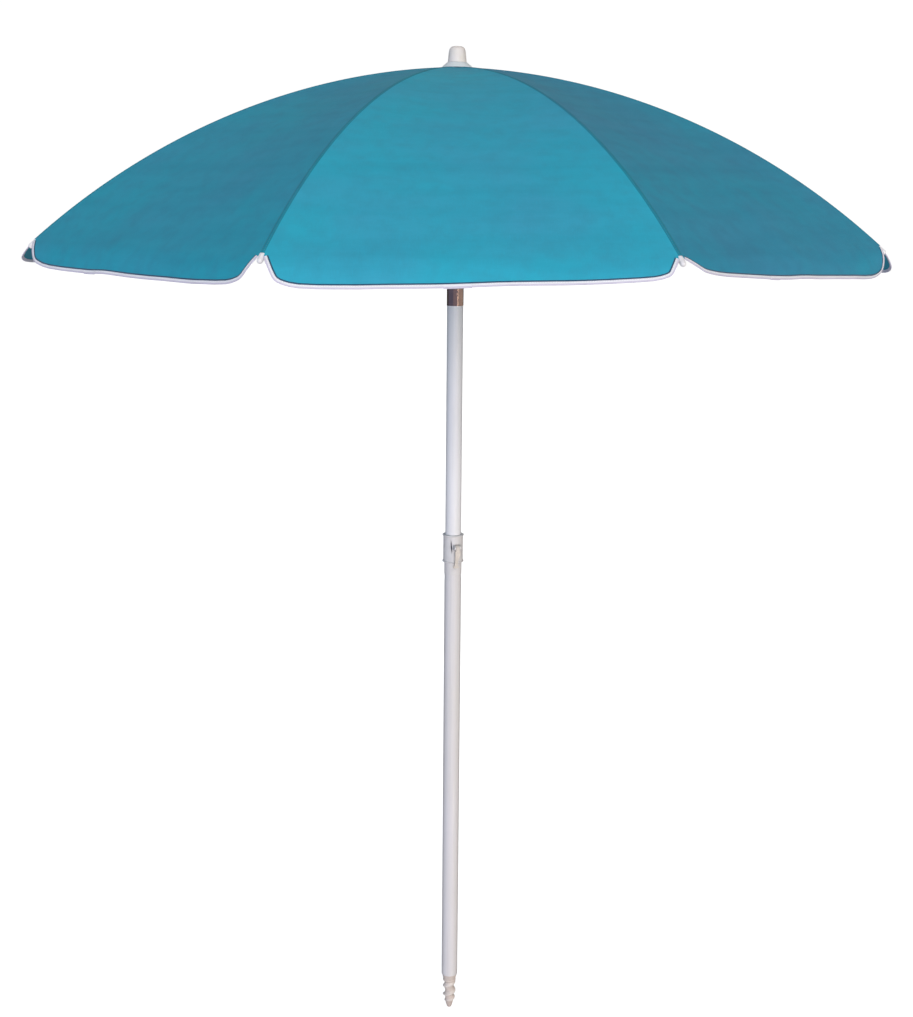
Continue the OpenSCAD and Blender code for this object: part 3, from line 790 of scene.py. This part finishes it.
def seam_piece(k, materials):
    """The felled seam where two gores meet over rib k: a raised band and two rows of stitches."""
    a = np.linspace(SEAM_FIRST, BODY - CUT_DEEP, 90)
    radius = ARC_X + BOW * np.sin(INNER_SLOPE + a / BOW)
    # places across the seam and the band's height there
    across = (-1.0, -0.94, -0.5, -0.12, 0.12, 0.5, 0.94, 1.0)
    heights = (-0.0002, 0.0002, 0.0004, 0.0006, 0.0006, 0.0004, 0.0002, -0.0002)
    lines, normals = [], []
    for place, height in zip(across, heights):
        g, end = (k - 1, 1) if place < 0 else (k, -1)
        s = end * (1 - abs(place) * SEAM_HALF / (radius * math.sin(HALF)))
        normals.append(surface_normal(g, a, s))
        lines.append(surface(g, a, s) + normals[-1] * height)
    points, normals = np.stack(lines, axis=1), np.stack(normals, axis=1)
    smooth = grid_normals(points)
    smooth = smooth * np.sign((smooth * normals).sum(-1, keepdims=True))
    uvs = np.stack(np.broadcast_arrays(np.array(across)[None] * SEAM_HALF, a[:, None]), -1)
    shape = Shape()
    shape.grid(points, smooth, uvs, flip=True)
    shape.grid(points - SEAM_UNDER * normals, -smooth, uvs)
    close_rim(shape, *points.shape[:2])
    for col in (2, 5):
        line = points[:, col] + normals[:, col] * 0.0001
        stitch_row(shape, line, normals[:, col], **SEAM_STITCH, mat=1)
    return shape.make(f"canopy_seam_{k}", materials)


TAPE_W, TAPE_T = 0.0046, 0.0005
TAPE_STITCH = {"pitch": 0.0036, "length": 0.0024, "width": 0.00045, "height": 0.0002}
LAP_STEP = 0.0009  # how far a lapped end stands out past the tape under it
STITCH_INSET = 0.0009  # from the tape's upper edge to its stitches
# where the tape's ends lap over each other: gore, from and to across it
TAPE_LAPS = ((6, -0.135, -0.004), (5, -0.36, -0.26), (7, -0.30, -0.22), (2, 0.2, 0.32))


def hem_line(g, s):
    """(edge points, outward direction in the cloth, cloth normal) along gore g's hem."""
    a = BODY + hem_length(g, s)
    edge, normal = surface(g, a, s), surface_normal(g, a, s)
    tangent = unit(np.gradient(edge, axis=0))
    out = unit(np.cross(tangent, normal))
    down = surface(g, a, s) - surface(g, a - 1e-3, s)
    return edge, out * np.sign((out * down).sum(-1, keepdims=True)), normal


def tape_section(w, t):
    """(out, up) outline of tape folded over the cloth's edge, and each side's material: the
    bright outer fold, then the roll and back in a darker copy of the tape, which is painted shade."""
    c = CLOTH_T
    outline = [
        (-w, 0.0001),
        (-w, t * 0.8),
        (-w + 0.0004, t * 1.15),
        (-w * 0.42, t * 1.1),
        (-w * 0.36, t * 0.8),
        (-0.0004, t * 0.9),
        (0.0004, t * 0.6),
        (0.0007, -c / 2),
        (0.0004, -c - t * 0.6),
        (-0.0004, -c - t),
        (-w + 0.0004, -c - t),
        (-w, -c - t * 0.8),
        (-w, -c - 0.0001),
        (-0.0002, -c - 0.0001),
        (-0.0002, 0.0001),
        (-w * 0.5, 0.0001),
    ]
    return outline, [0, 0, 0] + [1] * 7 + [1] * 6


def binding_piece(k, materials):
    """White tape folded over the hem's edge on both sides of rib k's tip. Materials are the
    tape's face, its roll in a darker copy of the tape (painted shade), its thread and a dark cord
    along its upper edge that is a painted shadow line."""
    w, t = TAPE_W, TAPE_T
    # painted shadow: a dark navy cord along the tape's upper edge stands for the shadow line the
    # tape's edge throws on the cloth
    shadow_cord = [
        (-w - 0.0022, -0.0001),
        (-w - 0.0018, 0.0004),
        (-w - 0.0003, 0.0005),
        (-w + 0.0001, 0.0001),
    ]
    shape = Shape()
    start = 1 - CUT_END / HALF_GORE - 1e-6
    # from the notch to the middle of the gore, with close steps round the notch
    part = np.concatenate([np.linspace(0, 0.25, 70), np.linspace(0.25, 1, 50)[1:]])
    for g, end in ((k - 1, 1), (k, -1)):
        edge, out, normal = hem_line(g, end * start * (1 - part))
        section_sweep(shape, edge, out, normal, *tape_section(w, t))
        section_sweep(shape, edge, out, normal, shadow_cord, [3] * 4)
        line = edge - out * (w - STITCH_INSET) + normal * (t * 1.15)
        stitch_row(shape, line, normal, **TAPE_STITCH, mat=2)
        for gore, low, high in TAPE_LAPS:
            if gore == g % RIBS and np.sign(low + high) == end:
                edge, out, normal = hem_line(g, np.linspace(low, high, 24))
                lap = tape_section(w + LAP_STEP, t * 1.9)
                section_sweep(shape, edge + out * LAP_STEP, out, normal, *lap)
    return shape.make(f"hem_binding_{k}", materials)


# ------------------------------------------------------------------ solid pieces
SPIKE_STEPS = 128


def auger():
    """The spike: a bullet core whose single rounded thread winds up to the ring under the tube."""
    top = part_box("ground_spike")[1].z
    rim = 0.077  # the lower tube's end
    core = smooth_line(
        np.array(
            [
                (0, 0),
                (0.3, 1.9),
                (1.2, 3.5),
                (3.5, 5.0),
                (8, 6.5),
                (13, 7.5),
                (20, 8.1),
                (30, 8.4),
                (40, 8.8),
                (49, 9.3),
                (55, 9.7),
                (58.4, 10.1),
                (60.2, 11.7),
                (61.6, 12.8),
                (63, 13.1),
                (64.4, 12.8),
                (65.3, 12.5),
                (66.4, 12.7),
            ]
        )
        * MM,
        7,
    )
    cone = [(0.0740, 0.0146), (0.0748, 0.01475), (0.0752, 0.0149), (0.0753, 0.0156)]
    plug = [(rim - 0.0002, 0.0156), (rim, 0.0151), (top - 0.001, 0.0151), (top, 0.0142), (top, 0)]
    line = np.concatenate([core, cone, plug])
    z, bare = line[:, :1], line[:, 1:]
    angle = np.arange(SPIKE_STEPS)[None] * math.tau / SPIKE_STEPS
    # turns along the thread at each height, as in z = 15.8 + 11.4 t + 2.5 t^2 millimetres
    along = (-11.4 + np.sqrt(np.maximum(0, 11.4**2 + 10 * (z / MM - 15.8)))) / 5
    crest = (0.5 + 0.5 * np.cos(math.tau * (along - 0.5) - angle)) ** 2.2
    low = np.clip((along + 0.55) / 0.5, 0, 1)
    high = np.clip((2.62 - along) / 0.25, 0, 1)
    fade = low**2 * (3 - 2 * low) * high**2 * (3 - 2 * high)
    outer = MM * (13.2 - 5 * np.clip((1.1 - along) / 1.45, 0, 1) ** 1.5)
    radius = bare + np.maximum(0, outer - bare) * crest * fade
    points = spun(radius, angle, z)
    normals = grid_normals(points, closed=True)
    normals[0], normals[-1] = -Z, Z
    uvs = np.stack([crest * fade, z + 0 * angle], axis=-1)  # first number: height on the thread
    shape = Shape()
    shape.grid(points, normals, uvs, closed=True)
    return shape.make("auger_spike", [SPIKE])


def finial():
    """The crown's conical flange, whose rim rests on the cloth, and the blunt cap above it."""
    low, high = (corner.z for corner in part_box("finial_base"))
    top = [(0.0046, high), (0.0168, high), (0.0176, high - 0.0002)]
    cone = smooth_line(
        [
            (0.0182, high - 0.0007),
            (0.0206, high - 0.0026),
            (0.0236, high - 0.0050),
            (0.0256, high - 0.0068),
            (0.0266, low + 0.0001),
            (0.0268, low - 0.0008),
            (0.0264, low - 0.0012),
        ],
        5,
    )
    profile = np.concatenate([top, cone, [(0.0252, low - 0.0010), (0.0245, low), (0.0046, low)]])
    flange = lathe("finial_flange", profile, [FINIAL_FLANGE])
    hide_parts("finial_base")
    low, high = (corner.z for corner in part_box("finial_cap"))
    side = smooth_line(
        [
            (0.0, high),
            (0.0040, high),
            (0.0076, high - 0.0003),
            (0.0104, high - 0.0013),
            (0.0127, high - 0.0033),
            (0.0142, high - 0.0062),
            (0.0150, high - 0.0100),
            (0.0156, high - 0.0150),
            (0.0161, high - 0.0200),
            (0.0166, low + 0.0026),
            (0.0168, low + 0.0010),
            (0.0166, low + 0.0002),
        ],
        6,
    )
    cap = lathe("finial_dome", np.concatenate([side, [(0.0160, low), (0.0, low)]]), [FINIAL_CAP])
    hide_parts("finial_cap")
    for piece in (flange, cap):
        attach(piece, "mast")


TIP_R, TIP_Z, TIP_SLOPE = 0.752, 1.548, math.radians(41.17)
TIP_LOW, TIP_HIGH, TIP_RADIUS, TIP_RISE = -0.0110, 0.0062, 0.0043, 0.0019


def tip_piece(k, material):
    """The plastic cap on rib k's end: a rounded capsule that fills the cut in the hem."""
    azimuth = STEP * (k - 0.5)
    level = np.array([math.cos(azimuth), math.sin(azimuth), 0])
    out = level * math.cos(TIP_SLOPE) - Z * math.sin(TIP_SLOPE)
    up = level * math.sin(TIP_SLOPE) + Z * math.cos(TIP_SLOPE)
    side = np.cross(up, out)
    r = TIP_RADIUS
    bend = np.linspace(0, math.pi / 2, 9)
    profile = [
        (TIP_LOW, 0.0),
        (TIP_LOW, r - 0.0016),
        (TIP_LOW + 0.0002, r - 0.0008),
        (TIP_LOW + 0.0007, r - 0.0002),
        (TIP_LOW + 0.0015, r),
        (-0.0030, r),
        (-0.0026, r - 0.0004),
        (-0.0018, r - 0.0004),
        (-0.0014, r),
        *((TIP_HIGH - r + r * math.sin(b), r * math.cos(b)) for b in bend),
    ]
    x, radius = np.array(profile).T
    turn = np.linspace(0, math.tau, 33)[:-1]
    ring = np.cos(turn)[:, None] * side + np.sin(turn)[:, None] * up
    centre = level * TIP_R + Z * TIP_Z + TIP_RISE * up
    points = centre + x[:, None, None] * out + radius[:, None, None] * ring
    normals = grid_normals(points, closed=True)
    normals[0], normals[-1] = -out, out
    uvs = np.stack(np.broadcast_arrays(turn[None] * r, x[:, None]), axis=-1)
    shape = Shape()
    shape.grid(points, normals, uvs, closed=True)
    return shape.make(f"tip_cap_{k}", [material])


# the collar's slit, 27 degrees left of the clamp, which stands 16 degrees right of the front
SLIT_AZIMUTH = math.radians(270 + 16 - 27)
# the clamp pin's height, and in millimetres the painted shadow sheet's radius, its half height and
# its edges:
# heights over the pin and places across
PIN_Z, SLIT_RADIUS, SLIT_HALF = 0.978, 15.95, 14
SLIT_LEFT = (
    (-14, -10, -9, -6, -2, 1.5, 5, 9, 14),
    (-0.9, -1.3, -0.2, -0.9, -1.8, -2.1, -2.1, -1.9, -1.7),
)
SLIT_RIGHT = ((-14, -10, -3, 1, 5, 9, 14), (1.2, 1.6, 1.8, 1.3, 0.8, 0.1, -0.7))


def slit_shadow_sheet(material):
    """A dark sheet in the collar's leaf-shaped slit, lying just off the tube: painted shadow for the
    slit's shade.
    """
    heights = np.linspace(-SLIT_HALF, SLIT_HALF, 40)[:, None]
    share = np.linspace(0, 1, 7)
    left, right = (np.interp(heights, *edge) for edge in (SLIT_LEFT, SLIT_RIGHT))
    across = left * (1 - share) + right * share
    angle = SLIT_AZIMUTH + across / SLIT_RADIUS
    outward = spun(1, angle, 0)
    points = outward * SLIT_RADIUS * MM
    points[..., 2] = PIN_Z + heights * MM
    uvs = np.stack([across * MM, heights * MM + 0 * across], axis=-1)
    shape = Shape()
    shape.grid(points, outward, uvs)
    shape.grid(points - outward * 0.0004, -outward, uvs, flip=True)
    close_rim(shape, *points.shape[:2], flip=True)
    return shape.make("collar_slit_painted_shadow", [material])


# ------------------------------------------------------------------ build
make_camera()
make_light()

# each gore's cloth colour, with its dye lot and its painted light
GORE_CLOTH_TINT_AND_LIGHT = [shade(CLOTH, by) for by in GORE_TINT_AND_PAINTED_LIGHT]
FACE = [cloth_material(f"blue_cloth_face_{g}", GORE_CLOTH_TINT_AND_LIGHT[g]) for g in range(RIBS)]
BACK = [cloth_material(f"blue_cloth_back_{g}", shade(GORE_CLOTH_TINT_AND_LIGHT[g], 0.92)) for g in range(RIBS)]
# painted shade: the seam's cloth is a darker copy of the gores' cloth, for the dark line along each
# rib
SHADED_SEAM_CLOTH = cloth_material("blue_seam_painted_shade", shade(CLOTH, 0.65))
TEAL_THREAD = thread_material("teal_thread", shade(CLOTH, 0.50))
TAPE_FACE = tape_material("white_tape", TAPE)
# painted shade: a darker, lavender copy of the white tape for the roll and back under the hem
TAPE_ROLL_PAINTED_SHADE = tape_material("white_tape_roll_painted_shade", (0.72, 0.68, 0.82))
WHITE_THREAD = thread_material("white_thread", (0.72, 0.72, 0.80))
# painted shadow: the dark navy of the cord along the tape's upper edge
NAVY_SHADOW_CORD = thread_material("navy_shadow_cord", (0.012, 0.08, 0.16))
SPIKE = spike_material()
# painted shadow: the dark colour of the sheet that stands for the shade inside the collar's slit
SLIT_SHADOW = plastic_material("slit_painted_shadow", (0.10, 0.09, 0.11), (0.06, 0.055, 0.065), 0.7)
ENAMEL = enamel_material("white_enamel", (0.86, 0.84, 0.88), (0.83, 0.81, 0.82))
# the lower tube's enamel: a darker copy, partly a greyer worn tone and partly painted shade that
# evens out the stronger light on the lower tube
WORN_AND_SHADED_ENAMEL = enamel_material("worn_and_shaded_white_enamel", (0.74, 0.71, 0.73), (0.71, 0.68, 0.67))
PLASTIC = plastic_material("white_plastic", (0.82, 0.79, 0.76), (0.74, 0.70, 0.66))
COLLAR = plastic_material("collar_plastic", (0.74, 0.71, 0.71), (0.67, 0.64, 0.63), 0.4)
LEVER = plastic_material("lever_plastic", (0.68, 0.61, 0.55), (0.62, 0.55, 0.49), 0.38)
FINIAL_CAP = plastic_material("finial_cream", (0.86, 0.80, 0.78), (0.82, 0.76, 0.70), 0.42)
FINIAL_FLANGE = plastic_material("finial_white", (0.80, 0.86, 0.89), (0.74, 0.81, 0.84), 0.3)
TIP = plastic_material("tip_plastic", (0.95, 0.94, 0.97), (0.88, 0.86, 0.88), 0.35)
BRONZE = metal_material(
    "dark_bronze", (0.245, 0.17, 0.148), (0.21, 0.148, 0.137), 0.12, (900, 900, 12), 0.15
)
STEEL = metal_material("zinc_steel", (0.62, 0.63, 0.65), (0.50, 0.51, 0.54), 0.3, (400, 400, 400))
SPRING = metal_material("spring_steel", (0.55, 0.56, 0.58), (0.42, 0.43, 0.46), 0.32, (30, 30, 900))

FINISH = {
    "lower_tube": WORN_AND_SHADED_ENAMEL,
    "upper_tube": ENAMEL,
    "mast_tube": ENAMEL,
    "clamp_collar": COLLAR,
    "clamp_lever": LEVER,
    "guide_bush": PLASTIC,
    "crown": PLASTIC,
    "runner": PLASTIC,
    "tilt_casing": BRONZE,
    "tilt_tongue": BRONZE,
    "rib": SPRING,
    "strut": SPRING,
}
for name, node in nodes.items():
    node.data.materials.clear()
    node.data.materials.append(FINISH.get(name.rstrip("_0123456789"), STEEL))

spike = auger()
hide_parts("ground_spike")
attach(spike, "lower_pole")
finial()
slit = slit_shadow_sheet(SLIT_SHADOW)
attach(slit, "lower_pole")

for k in range(1, RIBS + 1):
    first, second = (k - 1) % RIBS, k % RIBS
    cloth = canopy_pieces(k, [FACE[first], FACE[second], BACK[first], BACK[second]])
    seam = seam_piece(k, [SHADED_SEAM_CLOTH, TEAL_THREAD])
    tape = binding_piece(k, [TAPE_FACE, TAPE_ROLL_PAINTED_SHADE, WHITE_THREAD, NAVY_SHADOW_CORD])
    tip = tip_piece(k, TIP)
    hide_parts(f"rib_tip_{k}")
    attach(tip, f"rib_{k}")
    keeps = [part[-1] for part in PARTS]
    for piece, keep in zip([*cloth, seam, tape], [*keeps, 0.5, keeps[-1]]):
        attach(piece, f"rib_{k}")
        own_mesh(piece)
        if piece in cloth:
            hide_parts(f"canopy_panel_{k}")

# ------------------------------------------------------------------ stage
FLOOR_HALF, FLOOR_DROP, FLOOR_GLOW = 30, 0.0006, 0.80
DOME_RADIUS, DOME_DROP, DOME_GLOW = 28, 0.01, 1.02
DOME_ROWS, DOME_COLS = 24, 64


def stage_piece(name, points, faces, mat):
    """A stage mesh that the camera sees and that throws no light or shadow on the object."""
    mesh = bpy.data.meshes.new(name)
    mesh.from_pydata(points, [], faces)
    mesh.materials.append(mat)
    piece = bpy.data.objects.new(name, mesh)
    bpy.context.scene.collection.objects.link(piece)
    piece.visible_diffuse = False
    piece.visible_glossy = False
    piece.visible_shadow = False
    return piece


def pale_floor():
    """A wide, softly glowing white square just under the spike's tip."""
    pale = Nodes("pale_floor")
    mat = pale.set(base=(0.9, 0.9, 0.9), rough=0.9, specular=0.1)
    pale.shader.inputs["Emission Color"].default_value = (1, 1, 1, 1)
    pale.shader.inputs["Emission Strength"].default_value = FLOOR_GLOW
    half = FLOOR_HALF
    points = [(-half, -half, 0), (half, -half, 0), (half, half, 0), (-half, half, 0)]
    floor = stage_piece("floor", points, [(0, 1, 2, 3)], mat)
    floor.location.z = -FLOOR_DROP
    return floor


def white_dome():
    """A glowing white half sphere behind everything."""
    glow = bpy.data.materials.new("backdrop_white")
    glow.use_nodes = True
    tree = glow.node_tree
    tree.nodes.clear()
    light = tree.nodes.new("ShaderNodeEmission")
    light.inputs["Color"].default_value = (1, 1, 1, 1)
    light.inputs["Strength"].default_value = DOME_GLOW
    tree.links.new(light.outputs[0], tree.nodes.new("ShaderNodeOutputMaterial").inputs["Surface"])
    turn = np.arange(DOME_COLS) * math.tau / DOME_COLS
    lift = np.linspace(0, math.pi / 2, DOME_ROWS)[:, None]
    height = DOME_RADIUS * np.sin(lift) - DOME_DROP
    points = spun(DOME_RADIUS * np.cos(lift), turn, height)
    i, j = cells(DOME_ROWS - 1, DOME_COLS)
    k = (j + 1) % DOME_COLS
    corner = ((i, j), (i, k), (i + 1, k), (i + 1, j))
    faces = np.stack([a * DOME_COLS + b for a, b in corner], axis=1)
    dome = stage_piece("backdrop", points.reshape(-1, 3).tolist(), faces.tolist(), glow)
    dome.visible_transmission = False
    return dome


floor = pale_floor()
backdrop = white_dome()
